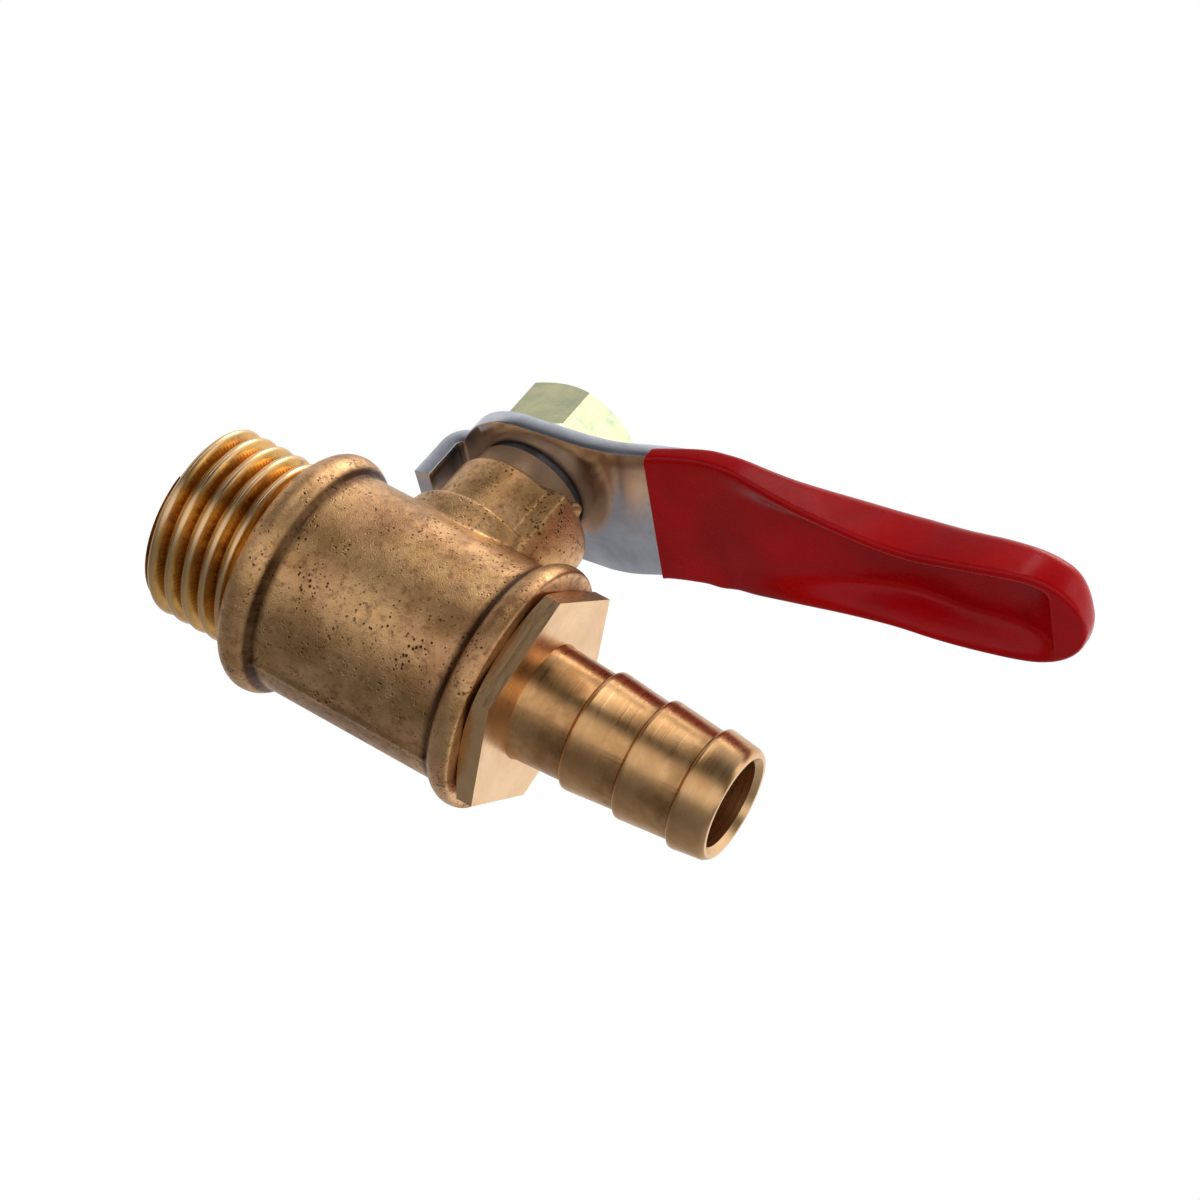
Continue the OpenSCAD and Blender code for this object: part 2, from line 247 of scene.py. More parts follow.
class Bench:
    # short ways to add and wire nodes in one tree
    def __init__(self, tree):
        self.tree = tree

    def add(self, kind, **facts):
        node = self.tree.nodes.new(kind)
        for key, value in facts.items():
            setattr(node, key, value)
        return node

    def wire(self, a, b):
        self.tree.links.new(a, b)

    def feed(self, socket, value):
        if hasattr(value, "links"):
            self.wire(value, socket)
        else:
            socket.default_value = value

    def noise(self, vector, scale, detail=4, rough=0.55, warp=0):
        n = self.add("ShaderNodeTexNoise")
        self.wire(vector, n.inputs["Vector"])
        self.feed(n.inputs["Scale"], scale)
        n.inputs["Detail"].default_value = detail
        n.inputs["Roughness"].default_value = rough
        n.inputs["Distortion"].default_value = warp
        return n.outputs["Fac"]

    def cells(self, vector, scale):
        n = self.add("ShaderNodeTexVoronoi", feature="F1")
        self.wire(vector, n.inputs["Vector"])
        self.feed(n.inputs["Scale"], scale)
        return n.outputs["Distance"]

    def sums(self, kind, a, b=0.5, clamp=False):
        n = self.add("ShaderNodeMath", operation=kind, use_clamp=clamp)
        self.feed(n.inputs[0], a)
        self.feed(n.inputs[1], b)
        return n.outputs[0]

    def span(self, value, low, high, toLow=0.0, toHigh=1.0):
        n = self.add("ShaderNodeMapRange")
        self.feed(n.inputs["Value"], value)
        n.inputs["From Min"].default_value = low
        n.inputs["From Max"].default_value = high
        self.feed(n.inputs["To Min"], toLow)
        self.feed(n.inputs["To Max"], toHigh)
        return n.outputs["Result"]

    def blend(self, amount, a, b):
        n = self.add("ShaderNodeMix", data_type="RGBA", blend_type="MIX")
        self.feed(n.inputs[0], amount)
        self.feed(n.inputs[6], a)
        self.feed(n.inputs[7], b)
        return n.outputs[2]

    def bump(self, height, strength, distance, under=None):
        n = self.add("ShaderNodeBump")
        n.inputs["Strength"].default_value = strength
        n.inputs["Distance"].default_value = distance
        self.wire(height, n.inputs["Height"])
        if under is not None:
            self.wire(under, n.inputs["Normal"])
        return n.outputs["Normal"]

    def use(self, group, **values):
        n = self.add("ShaderNodeGroup", node_tree=group)
        for key, value in values.items():
            self.feed(n.inputs[key], value)
        return n

    def fromAxis(self, vector):
        # the place along the X axis, and the distance from it
        parts = self.add("ShaderNodeSeparateXYZ")
        self.wire(vector, parts.inputs[0])
        squares = [self.sums("POWER", parts.outputs[k], 2.0) for k in (1, 2)]
        return parts.outputs[0], self.sums("SQRT", self.sums("ADD", *squares))

    def corner(self):
        return self.add("ShaderNodeNewGeometry").outputs["Pointiness"]


def blastedGrain():
    # sand-blasted grain with pits, from fine to coarse
    group, start, end = addGroup("blastedGrain", [
        ("Vector", "NodeSocketVector", None), ("Grain", "NodeSocketFloat", 9000.0),
        ("Pits", "NodeSocketFloat", 3200.0)], [
        ("Height", "NodeSocketFloat"), ("Pit", "NodeSocketFloat"), ("Mottle", "NodeSocketFloat")])
    b = Bench(group)
    v = start.outputs["Vector"]
    fine = b.noise(v, start.outputs["Grain"], 3, 0.6)
    where = b.noise(v, 700.0, 3, 0.6)
    steep = 6.0  # how sharp a pit's rim is
    cell = b.cells(v, start.outputs["Pits"])
    size = b.span(where, 0.36, 0.64, 0.07, 0.38)
    pit = b.sums("MULTIPLY", b.sums("SUBTRACT", size, cell), steep, True)
    # a few larger ones
    wideCell = b.cells(v, b.sums("MULTIPLY", start.outputs["Pits"], 0.55))
    wideSize = b.span(where, 0.40, 0.70, 0.0, 0.30)
    wide = b.sums("MULTIPLY", b.sums("SUBTRACT", wideSize, wideCell), steep, True)
    pit = b.sums("MAXIMUM", pit, wide)
    height = b.sums("SUBTRACT", b.sums("MULTIPLY", fine, 0.5), b.sums("MULTIPLY", pit, 0.8))
    b.wire(height, end.inputs["Height"])
    b.wire(pit, end.inputs["Pit"])
    b.wire(b.noise(v, 260.0, 5, 0.62, 0.4), end.inputs["Mottle"])
    return group


def turningMarks():
    # fine rings left by a lathe tool, about the X axis
    group, start, end = addGroup("turningMarks", [
        ("Vector", "NodeSocketVector", None), ("Along", "NodeSocketFloat", 9000.0),
        ("Out", "NodeSocketFloat", 9000.0)], [("Height", "NodeSocketFloat")])
    b = Bench(group)
    x, radius = b.fromAxis(start.outputs["Vector"])
    pair = b.add("ShaderNodeCombineXYZ")
    b.wire(b.sums("MULTIPLY", x, start.outputs["Along"]), pair.inputs[0])
    b.wire(b.sums("MULTIPLY", radius, start.outputs["Out"]), pair.inputs[1])
    b.wire(b.noise(pair.outputs[0], 1.0, 2, 0.7), end.inputs["Height"])
    return group


def edgeWearAndCornerShade():
    # bright wear where a corner stands out, and painted shade where one goes in
    group, start, end = addGroup("edgeWearAndCornerShade", [
        ("Vector", "NodeSocketVector", None), ("Corner", "NodeSocketFloat", 0.5),
        ("Break", "NodeSocketFloat", 900.0)], [
        ("Wear", "NodeSocketFloat"), ("InsideCornerShade", "NodeSocketFloat")])
    b = Bench(group)
    patch = b.noise(start.outputs["Vector"], start.outputs["Break"], 4, 0.6)
    corner = b.sums("ADD", start.outputs["Corner"], b.span(patch, 0.3, 0.7, -0.02, 0.02))
    b.wire(b.span(corner, 0.515, 0.56), end.inputs["Wear"])
    b.wire(b.span(corner, 0.485, 0.43), end.inputs["InsideCornerShade"])
    return group


grainGroup = blastedGrain()
turningGroup = turningMarks()
edgeGroup = edgeWearAndCornerShade()


def newFinish(name):
    m = bpy.data.materials.new(name)
    m.use_nodes = True
    b = Bench(m.node_tree)
    shader = m.node_tree.nodes["Principled BSDF"]
    spot = b.add("ShaderNodeTexCoord").outputs["Object"]
    return m, b, shader, spot


def dress(b, shader, colour, rough, normal, metal=1.0):
    b.wire(colour, shader.inputs["Base Color"])
    b.wire(rough, shader.inputs["Roughness"])
    b.wire(normal, shader.inputs["Normal"])
    shader.inputs["Metallic"].default_value = metal


forging = {
    "light": (0.84, 0.50, 0.235, 1), "base": (0.56, 0.305, 0.12, 1), "rosy": (0.62, 0.32, 0.17, 1),
    # stainAndShade colours the pits, and also the painted shade in the bead creases and inside corners
    "dark": (0.19, 0.085, 0.034, 1), "stainAndShade": (0.085, 0.036, 0.014, 1),
    "roughLow": 0.28, "roughHigh": 0.48,
    "creases": (0.00982, 0.02348), "creaseR": 0.0080,  # where each bead meets the barrel, in metres
    "creaseHalf": (0.00018, 0.00062), "creaseEdge": 0.0002,
}


def forgedBrass():
    m, b, shader, spot = newFinish("forgedBrass")
    grain = b.use(grainGroup, Vector=spot)
    edge = b.use(edgeGroup, Vector=spot, Corner=b.corner())
    mottle = grain.outputs["Mottle"]
    colour = b.blend(b.span(mottle, 0.38, 0.60), forging["base"], forging["light"])
    blush = b.noise(spot, 190.0, 4, 0.6, 0.5)
    colour = b.blend(b.span(blush, 0.50, 0.66, 0.0, 0.6), colour, forging["rosy"])
    patch = b.noise(spot, 110.0, 6, 0.68, 0.6)
    colour = b.blend(b.span(patch, 0.50, 0.70, 0.0, 0.7), colour, forging["dark"])
    streak = b.noise(spot, 1700.0, 5, 0.75, 0.3)
    colour = b.blend(b.span(streak, 0.50, 0.68, 0.0, 0.65), colour, forging["dark"])
    # the pits gather in patches
    gather = b.span(b.noise(spot, 210.0, 4, 0.65, 0.3), 0.36, 0.54, 0.35, 1.0)
    colour = b.blend(b.sums("MULTIPLY", grain.outputs["Pit"], gather), colour, forging["stainAndShade"])
    # painted shade darkens the crease beside each bead
    x, radius = b.fromAxis(spot)
    near = [b.sums("ABSOLUTE", b.sums("SUBTRACT", x, middle)) for middle in forging["creases"]]
    crease = b.span(b.sums("MINIMUM", *near), *forging["creaseHalf"], 1.0, 0.0)
    low = b.span(radius, forging["creaseR"], forging["creaseR"] + forging["creaseEdge"], 1.0, 0.0)
    crease = b.sums("MULTIPLY", crease, low)
    crease = b.sums("MULTIPLY", crease, b.span(patch, 0.30, 0.52, 0.65, 1.0))
    colour = b.blend(crease, colour, forging["stainAndShade"])
    # painted shade where a corner goes in
    colour = b.blend(b.sums("MULTIPLY", edge.outputs["InsideCornerShade"], 0.7), colour, forging["stainAndShade"])
    rough = b.span(streak, 0.3, 0.7, forging["roughLow"], forging["roughHigh"])
    dress(b, shader, colour, rough, b.bump(grain.outputs["Height"], 0.8, 0.00007))
    return m


wornBrass = (0.93, 0.72, 0.45, 1)


def turnedBrass(name, tint, roughLow, roughHigh, ringsAlong, ringsOut):
    m, b, shader, spot = newFinish(name)
    rings = b.use(turningGroup, Vector=spot, Along=ringsAlong, Out=ringsOut)
    edge = b.use(edgeGroup, Vector=spot, Corner=b.corner())
    patch = b.noise(spot, 300.0, 5, 0.6, 0.3)
    colour = b.blend(b.span(patch, 0.38, 0.66), tint["light"], tint["base"])
    # painted shade in the tint's dark colour where a corner goes in
    colour = b.blend(b.sums("MULTIPLY", edge.outputs["InsideCornerShade"], 0.8), colour, tint["dark"])
    colour = b.blend(b.sums("MULTIPLY", edge.outputs["Wear"], 0.3), colour, wornBrass)
    rough = b.span(rings.outputs["Height"], 0.3, 0.7, roughLow, roughHigh)
    dress(b, shader, colour, rough, b.bump(rings.outputs["Height"], 0.35, 0.00002))
    return m


# each tint's dark colour is only used for painted shade where a corner goes in
tailTint = {"light": (0.80, 0.47, 0.22, 1), "base": (0.62, 0.33, 0.13, 1), "dark": (0.20, 0.07, 0.02, 1)}
rimTint = {"light": (0.30, 0.13, 0.07, 1), "base": (0.20, 0.085, 0.045, 1), "dark": (0.10, 0.045, 0.025, 1)}
flankTint = {
    "crest": (0.80, 0.53, 0.30, 1), "flank": (0.74, 0.42, 0.12, 1), "amber": (0.60, 0.31, 0.07, 1),
    "brown": (0.32, 0.145, 0.04, 1), "flankR": (0.00574, 0.00610), "crestR": (0.00642, 0.00652),
}


def threadBrass():
    # pale crests, amber flanks and brown valleys, told apart by their distance from the axis
    m, b, shader, spot = newFinish("threadBrass")
    rings = b.use(turningGroup, Vector=spot, Along=9000.0, Out=4000.0)
    radius = b.fromAxis(spot)[1]
    patch = b.noise(spot, 420.0, 5, 0.65, 0.4)
    wander = b.sums("ADD", radius, b.span(patch, 0.3, 0.7, -0.00008, 0.00008))
    colour = b.blend(b.span(wander, *flankTint["flankR"]), flankTint["amber"], flankTint["flank"])
    colour = b.blend(b.span(patch, 0.46, 0.66, 0.0, 0.75), colour, flankTint["brown"])
    crest = b.span(wander, *flankTint["crestR"], 0.0, 0.85)
    colour = b.blend(crest, colour, flankTint["crest"])
    rough = b.span(rings.outputs["Height"], 0.3, 0.7, 0.22, 0.36)
    dress(b, shader, colour, rough, b.bump(rings.outputs["Height"], 0.3, 0.00002))
    return m


# speck is the plate's own dark specks; shadeTone is painted shade where a corner goes in
plateSpeckAndShade = {"speck": (0.16, 0.14, 0.13, 1), "shadeTone": (0.14, 0.13, 0.12, 1)}


def zincPlate(name, light, base, rough):
    m, b, shader, spot = newFinish(name)
    edge = b.use(edgeGroup, Vector=spot, Corner=b.corner())
    cloud = b.noise(spot, 420.0, 5, 0.65, 0.5)
    speck = b.noise(spot, 5200.0, 3, 0.6)
    colour = b.blend(b.span(cloud, 0.35, 0.68), light, base)
    colour = b.blend(b.span(speck, 0.66, 0.80, 0.0, 0.5), colour, plateSpeckAndShade["speck"])
    # painted shade where a corner goes in
    colour = b.blend(b.sums("MULTIPLY", edge.outputs["InsideCornerShade"], 0.5), colour, plateSpeckAndShade["shadeTone"])
    dress(b, shader, colour, b.span(cloud, 0.3, 0.7, rough, rough + 0.1), b.bump(speck, 0.25, 0.00001))
    return m


dip = {
    "light": (0.56, 0.001, 0.004, 1), "deep": (0.38, 0.0008, 0.003, 1), "ior": 1.5, "gloss": 0.16,
    "coat": 0.04, "coatRough": 0.05, "glow": 0.05, "glowDepth": 0.0004, "glowReach": (1.0, 0.2, 0.1),
}


def dippedRed():
    m, b, shader, spot = newFinish("dippedRed")
    flow = b.noise(spot, 140.0, 3, 0.5, 0.4)
    fine = b.noise(spot, 2600.0, 3, 0.5)
    colour = b.blend(b.span(flow, 0.35, 0.65), dip["light"], dip["deep"])
    soft = b.bump(flow, 0.25, 0.0006)
    dress(b, shader, colour, b.span(fine, 0.3, 0.7, 0.22, 0.30), b.bump(fine, 0.06, 0.00002, soft), 0.0)
    shader.inputs["IOR"].default_value = dip["ior"]
    shader.inputs["Specular IOR Level"].default_value = dip["gloss"]
    shader.inputs["Coat Weight"].default_value = dip["coat"]
    shader.inputs["Coat Roughness"].default_value = dip["coatRough"]
    shader.inputs["Subsurface Weight"].default_value = dip["glow"]
    shader.inputs["Subsurface Scale"].default_value = dip["glowDepth"]
    shader.inputs["Subsurface Radius"].default_value = dip["glowReach"]
    return m


def plainFinish(name, light, base, rough, metal=0.0):
    m, b, shader, spot = newFinish(name)
    cloud = b.noise(spot, 900.0, 4, 0.6)
    fine = b.noise(spot, 5400.0, 3, 0.6)
    colour = b.blend(b.span(cloud, 0.35, 0.65), light, base)
    patchy = b.span(cloud, 0.3, 0.7, rough, rough + 0.08)
    dress(b, shader, colour, patchy, b.bump(fine, 0.15, 0.00001), metal)
    return m


finishes = {
    "forged": forgedBrass(),
    "thread": threadBrass(),
    "tail": turnedBrass("tailBrass", tailTint, 0.24, 0.34, 3000.0, 1500.0),
    "rim": turnedBrass("rimBrass", rimTint, 0.42, 0.58, 3000.0, 7000.0),
    "zinc": zincPlate("zincPlate", (0.74, 0.76, 0.84, 1), (0.56, 0.57, 0.64, 1), 0.18),
    "yellow": zincPlate("yellowZinc", (0.84, 0.80, 0.48, 1), (0.50, 0.60, 0.42, 1), 0.12),
    "red": dippedRed(),
    # the zinc steel stem washer is painted dark: painted shade where it sits under the lever
    "shadeDarkened": plainFinish("shadeDarkenedSteel", (0.16, 0.14, 0.13, 1), (0.09, 0.08, 0.075, 1), 0.45, 1.0),
    "chrome": plainFinish("ballChrome", (0.86, 0.87, 0.89, 1), (0.76, 0.77, 0.80, 1), 0.06, 1.0),
    "ptfe": plainFinish("mouldedPtfe", (0.90, 0.89, 0.86, 1), (0.84, 0.83, 0.79, 1), 0.42),
    "rubber": plainFinish("sealRubber", (0.03, 0.03, 0.03, 1), (0.018, 0.018, 0.018, 1), 0.5),
}
print("finishes made")


# the forging: barrel, beads, neck and stop block, with the passages inside
body = {
    "beadIn": 8.575, "beadOut": 24.725, "beadR": 8.45, "beadRound": 1.4, "barrelR": 7.6,
    "endFace": 25.375, "shoulder": 7.175,
    "neckR": 4.45, "neckTop": 12.1, "padR": 5.35, "padTop": 7.7,
    "stopR": 5.65, "stopFace": 2.85, "stopTop": 12.3, "stopMiddle": 225, "stopSpread": 31,
    "nub": (4.55, -2.75, 12.3), "nubR": 0.5, "rimR": 4.0, "rimTop": 13.85, "neckBore": 3.05,
    "rimFoot": 11.6, "rimBevel": 0.12, "rimMouth": 0.1, "boreTop": 14,
    "pocketR": 3.7, "pocketTop": 7.2, "cavityR": 5.5, "cavityHalf": 5.68,
    "spigotBore": 6.02, "inletBore": 3.5, "past": 1,
    "neckRound": 0.3, "padRound": 0.25, "stopRound": 0.45,
    "flashWide": 0.42, "flashHigh": 0.34, "flashSunk": 0.02, "voxel": 0.138,
}


def forgedBlank():
    bead, top = body["beadRound"], body["beadR"]
    half = degrees(acos((bead - (top - body["barrelR"])) / bead))
    end = degrees(asin((body["endFace"] - body["beadOut"]) / bead))
    profile = [(body["shoulder"], 0)]
    profile += bow(body["beadIn"], top - bead, bead, 180, 90 - half, 16)
    profile += bow(body["beadOut"], top - bead, bead, 90 + half, 90 - end, 14)
    profile += [(body["endFace"], 0)]
    return turned("forging", profile, steps=144)


def upright(name, radius, top):
    # stands on the flow axis, about the stem
    letGo()
    bpy.ops.mesh.primitive_cylinder_add(vertices=96, radius=radius, depth=top, location=(stemX, 0, top / 2))
    piece = bpy.context.active_object
    piece.name = name
    return piece


def roundedTop(piece, top, width):
    # the upper edge gets its forged radius
    edit(piece)
    bpy.ops.mesh.select_all(action="DESELECT")
    done()
    for e in piece.data.edges:
        ends = [piece.matrix_world @ piece.data.vertices[i].co for i in e.vertices]
        e.select = all(abs(p.z - top) < 0.001 for p in ends)
    pick(piece)
    bpy.ops.object.mode_set(mode="EDIT")
    bpy.ops.mesh.select_mode(type="EDGE")
    bpy.ops.mesh.bevel(offset=width, segments=4)
    bpy.ops.mesh.select_mode(type="VERT")
    done()


def stopBlock():
    # a round block with a flat stop face at each end, and a nub of spare metal beside one
    block = upright("stopBlock", body["stopR"], body["stopTop"])
    roundedTop(block, body["stopTop"], body["stopRound"])
    for side in (1, -1):
        edit(block)
        face = radians(body["stopMiddle"] + side * body["stopSpread"])
        out = Vector((cos(face), sin(face), 0))
        bpy.ops.mesh.bisect(plane_co=Vector((stemX, 0, 0)) + out * body["stopFace"], plane_no=out,
                            use_fill=True, clear_outer=True)
        done()
    weld(block)
    letGo()
    nub = (stemX + body["nub"][0], body["nub"][1], body["nub"][2])
    bpy.ops.mesh.primitive_ico_sphere_add(subdivisions=3, radius=body["nubR"], location=nub)
    carve(block, bpy.context.active_object, "UNION")
    return block


def forgingLine():
    # the flash line along the underside of the barrel
    letGo()
    bpy.ops.mesh.primitive_cube_add(size=1, location=(stemX, 0, body["flashSunk"] - body["barrelR"]))
    line = bpy.context.active_object
    line.scale = (body["beadOut"] - body["beadIn"], body["flashWide"], body["flashHigh"])
    bpy.ops.object.transform_apply(location=True, rotation=True, scale=True)
    return line


def makeForging():
    piece = forgedBlank()
    neck = upright("neck", body["neckR"], body["neckTop"])
    roundedTop(neck, body["neckTop"], body["neckRound"])
    pad = upright("pad", body["padR"], body["padTop"])
    roundedTop(pad, body["padTop"], body["padRound"])
    for extra in (neck, pad, stopBlock(), forgingLine()):
        carve(piece, extra, "UNION")
    remesh = piece.modifiers.new("remesh", "REMESH")
    remesh.mode = "VOXEL"
    remesh.voxel_size = body["voxel"]
    remesh.use_smooth_shade = True
    apply(piece, remesh)
    soften = piece.modifiers.new("soften", "SMOOTH")
    soften.factor = 0.5
    soften.iterations = 3
    apply(piece, soften)
    # the passages inside
    past, inlet, spigot = body["past"], body["inletBore"], body["spigotBore"]
    near, far = stemX - body["cavityHalf"], stemX + body["cavityHalf"]
    profile = [(-past, 0), (-past, inlet), (near, inlet), (near, body["cavityR"]), (far, body["cavityR"])]
    profile += [(far, spigot), (body["endFace"] + past, spigot), (body["endFace"] + past, 0)]
    carve(piece, turned("passage", profile, steps=96))
    pocket, bore, top = body["pocketTop"], body["neckBore"], body["boreTop"]
    profile = [(0, 0), (0, body["pocketR"]), (pocket, body["pocketR"]), (pocket, bore), (top, bore), (top, 0)]
    carve(piece, turned("pocket", profile, "Z", (stemX, 0, 0), 96))
    smooth(piece, 50)
    return piece


forgedBody = makeForging()
place(forgedBody, "valve", finishes["forged"], ["valve_body"])
print("forging made")


# the inlet thread, a true helix on a turned core
thread = {
    "pitch": 1.337, "crestR": 6.5785, "rootR": 5.72, "lead": 0.35, "end": 6.7,
    "crest": 0.16, "foot": 0.60, "sunk": 0.25, "steps": 112, "mouth": 0.25,
    "runOut": (6.5, 6.8), "runOutDrop": 0.18, "into": 0.7,
}


def threadRidge():
    # one turn of the ridge's section, carried round by a Screw modifier
    pitch, root, top = thread["pitch"], thread["rootR"], thread["crestR"]
    foot, crest, inner = thread["foot"], thread["crest"], thread["rootR"] - thread["sunk"]
    rise = [(-foot, inner), (-foot, root), (-crest - 0.10, top - 0.14), (-crest * 0.6, top - 0.02)]
    section = rise + [(0, top)] + [(-a, b) for a, b in reversed(rise)]
    start = thread["lead"] - pitch
    ridge = pointChain("threadRidge", [(start + a, 0, b) for a, b in section])
    bpy.ops.mesh.select_all(action="SELECT")
    bpy.ops.mesh.edge_face_add()
    bpy.ops.mesh.delete(type="ONLY_FACE")
    done()
    screw = ridge.modifiers.new("screw", "SCREW")
    screw.axis = "X"
    screw.angle = 2 * pi
    screw.screw_offset = pitch
    screw.iterations = ceil((thread["end"] - start) / pitch) + 1
    screw.steps = screw.render_steps = thread["steps"]
    screw.use_normal_calculate = True
    pick(ridge)
    bpy.ops.object.transform_apply(location=True, rotation=True, scale=True)
    apply(ridge, screw)
    weld(ridge)
    return ridge


def makeThread():
    top, root, bore, mouth = thread["crestR"], thread["rootR"], body["inletBore"], thread["mouth"]
    stop = body["shoulder"] + 0.5
    profile = [(0, 0), (0, root + 0.05), (0.55, top + 0.02), (stop, top + 0.02), (stop, 0)]
    envelope = turned("envelope", profile, steps=160)
    ridge = threadRidge()
    carve(ridge, envelope, "INTERSECT")
    end, low = body["shoulder"] + thread["into"], top - thread["runOutDrop"]
    profile = [(0, bore + mouth), (0, root - 0.12), (0.12, root), (thread["runOut"][0], root)]
    profile += [(thread["runOut"][1], low), (end, low), (end, bore), (mouth, bore), (0, bore + mouth)]
    core = turned("inletThread", profile, steps=160)
    carve(core, ridge, "UNION")
    smooth(core, 40)
    return core


place(makeThread(), "valve", finishes["thread"])
print("thread made")


def makeNeckRim():
    foot, top, outer, bore = body["rimFoot"], body["rimTop"], body["rimR"], body["neckBore"]
    bevel, mouth = body["rimBevel"], body["rimMouth"]
    profile = [(foot, bore), (foot, outer), (top - bevel, outer), (top, outer - bevel)]
    profile += [(top, bore + mouth), (top - mouth, bore), (foot, bore)]
    rim = turned("neckRim", profile, "Z", (stemX, 0, 0), 128)
    smooth(rim)
    return rim


place(makeNeckRim(), "valve", finishes["rim"])
print("neck rim made")


tail = {
    "hexX": 25.375, "hexT": 1.5, "hexAf": 14, "hexTurn": 45, "neck": 3.75, "barbR": 4.1, "valleyR": 3.75,
    "pitch": 3.9, "step": 0.3, "land": 0.2, "barbs": 3, "bore": 3.0, "spigotR": 6.0, "spigotL": 3.045,
    "chamfer": 0.45, "rootR": 4.05, "rootRound": (0.25, 3.95), "sunk": 0.3, "tipL": 2.4,
    "mouth": [(0.35, 3.84), (0.08, 3.68), (0, 3.58), (0, 3.34)],  # distance back from the end, and radius
}


def hexBlock(name, acrossFlats, low, high, turnBy, chamferLow, chamferHigh):
    # a hexagon whose corners are turned off by a cone at each face
    radius = acrossFlats / 2 / cos(pi / 6)
    letGo()
    bpy.ops.mesh.primitive_cylinder_add(vertices=6, radius=radius, depth=high - low)
    block = bpy.context.active_object
    block.name = name
    block.rotation_euler = (0, 0, turnBy)
    block.location = (0, 0, (low + high) / 2)
    bpy.ops.object.transform_apply(location=True, rotation=True, scale=True)
    inset, clear = acrossFlats / 2 - 0.05, acrossFlats / 2 + 0.85  # the cone's small end, or no cone
    outer = radius + 0.15
    profile = [(low, 0), (low, inset if chamferLow else clear), (low + chamferLow, outer)]
    profile += [(high - chamferHigh, outer), (high, inset if chamferHigh else clear), (high, 0)]
    envelope = turned("cone", profile, "Z", (0, 0, 0), 192)
    carve(block, envelope, "INTERSECT")
    return block


def makeTail():
    back, front, sunk = tail["hexX"], tail["hexX"] + tail["hexT"], tail["sunk"]
    hexagon = hexBlock("hoseTail", tail["hexAf"], back, front, 0, tail["chamfer"], 0)
    hexagon.rotation_euler = (0, pi / 2, 0)
    pick(hexagon)
    bpy.ops.object.transform_apply(location=True, rotation=True, scale=True)
    hexagon.rotation_euler = (radians(tail["hexTurn"]), 0, 0)
    bpy.ops.object.transform_apply(location=True, rotation=True, scale=True)
    # the turned spigot, neck and barbs
    inner, first = back - tail["spigotL"], front + tail["neck"]
    profile = [(inner, tail["bore"]), (inner, tail["spigotR"]), (back + sunk, tail["spigotR"])]
    profile += [(back + sunk, tail["rootR"]), (front, tail["rootR"])]
    profile += [(front + tail["rootRound"][0], tail["rootRound"][1]), (first, tail["valleyR"])]
    for i in range(tail["barbs"]):
        crest = first + i * tail["pitch"] + tail["step"]
        profile += [(crest - 0.06, tail["barbR"] - 0.03), (crest, tail["barbR"])]
        profile += [(crest + tail["land"], tail["barbR"])]
        if i < tail["barbs"] - 1:
            profile += [(crest + tail["pitch"] - tail["step"], tail["valleyR"])]
    end = crest + tail["tipL"]
    profile += [(end - a, r) for a, r in tail["mouth"]]
    profile += [(end - 0.4, tail["bore"]), (inner, tail["bore"])]
    barbs = turned("barbs", profile, steps=160)
    # the hexagon is hollowed so that only its outside is kept around them
    wide, narrow = tail["spigotR"] - 0.1, tail["rootR"] - 0.15
    profile = [(20, 0), (20, wide), (front - sunk, wide), (front - sunk, narrow), (30, narrow), (30, 0)]
    carve(hexagon, turned("hole", profile, steps=96))
    joinTo(hexagon, barbs)
    smooth(hexagon, 30)
    return hexagon


place(makeTail(), "valve", finishes["tail"], ["hose_tail"])
print("hose tail made")


# the lever is modelled with the stem on Z and its length along X
lever = {
    "thick": 1.25, "under": 14.15, "half": 5.6, "reach": 12.5, "tabIn": 5.35, "tabHalf": 2.45, "tabTip": 10.5,
    "edge": 0.14, "bendR": 0.5, "holeR": 2.55, "holeFlat": 1.85, "tabRoot": 1.6, "tabInset": 0.02,
    "tabEdge": 0.12, "waist": 0.15, "waistFrom": 5.4, "waistOver": 3.5,
    "rise": [(5.2, 0), (6.6, 0.18), (7.6, 0.42), (8.9, 0.86), (9.6, 1.06), (11.4, 1.5), (13.1, 1.72),
        (15, 1.8)],
}


def sheetRing(x, low, high, half, edge):
    # the section of a sheet: flat faces, and edges with a small radius
    e = min(edge, half * 0.9)
    cut = e * 0.3
    steps = [2 * (half - e) * k / 8 - half + e for k in range(9)]
    ring = [(a, low) for a in steps]
    ring += [(half - cut, low + cut), (half, low + e), (half, high - e), (half - cut, high - cut)]
    ring += [(-a, high) for a in steps]
    ring += [(cut - half, high - cut), (-half, high - e), (-half, low + e), (cut - half, low + cut)]
    return [Vector((x, a, b)) for a, b in ring]


